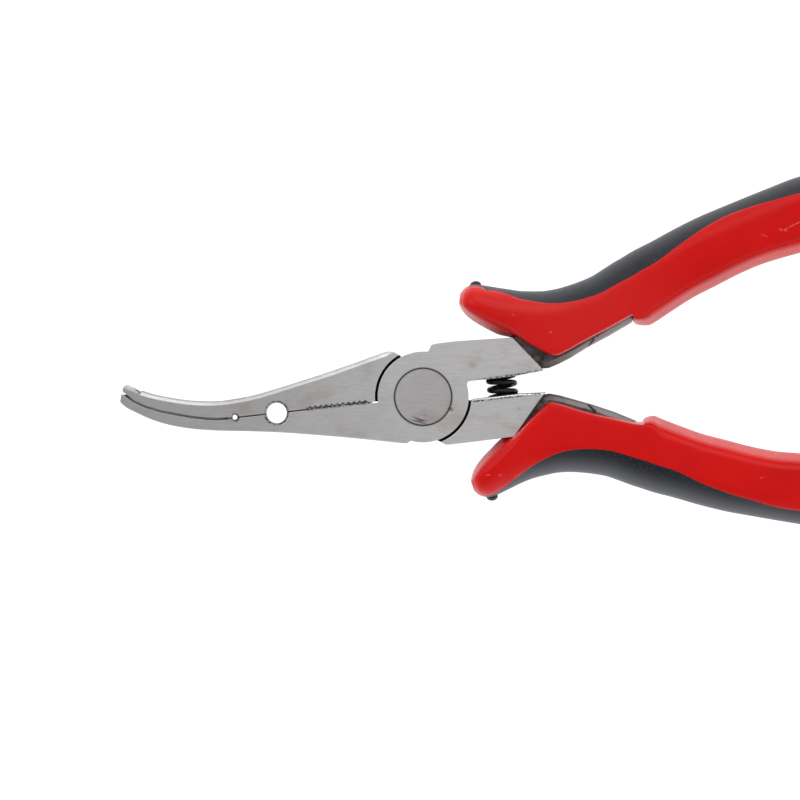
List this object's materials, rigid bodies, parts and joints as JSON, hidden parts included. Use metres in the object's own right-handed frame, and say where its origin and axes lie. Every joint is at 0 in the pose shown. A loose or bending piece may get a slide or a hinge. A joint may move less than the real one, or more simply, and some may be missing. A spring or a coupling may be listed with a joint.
{
  "type": "pliers",
  "caption": "Slim spring-return pliers with a long curved nose, fine inner teeth, a round opening across the jaws, a flush lap joint and flared two-colour moulded grips",
  "frame": {"origin": "on the pivot axis at the rear face of the rivet", "axes": "+X runs to the handle ends, +Y is the side of the handle that the front half carries, +Z is the front of the tool"},
  "size_m": [0.1551, 0.0657, 0.0131],
  "materials": {
    "ground_steel": "fine lengthwise ground grain, slightly stained, satin",
    "rivet_steel": "ground flush with the joint, satin",
    "spring_steel": "black, semi-gloss",
    "red_shell": "hard red moulding, semi-gloss with small scratches",
    "grey_inlay": "soft dark grey moulding, matt with a slight sheen"
  },
  "bodies": {
    "front": {"front_half": "ground_steel", "pivot_rivet": "rivet_steel", "return_spring": "spring_steel", "upper_grip_shell": "red_shell", "upper_grip_inlay": "grey_inlay"},
    "rear": {"rear_half": "ground_steel", "lower_grip_shell": "red_shell", "lower_grip_inlay": "grey_inlay"}
  },
  "joints": [
    {"name": "pivot", "type": "hinge", "parent": "front", "child": "rear", "pos_m": [0, 0, 0], "axis": [0, 0, -1], "range_deg": [0, 30], "stiffness_Nm_per_rad": 0.1, "springref_deg": 30, "deforming": ["return_spring"]}
  ]
}
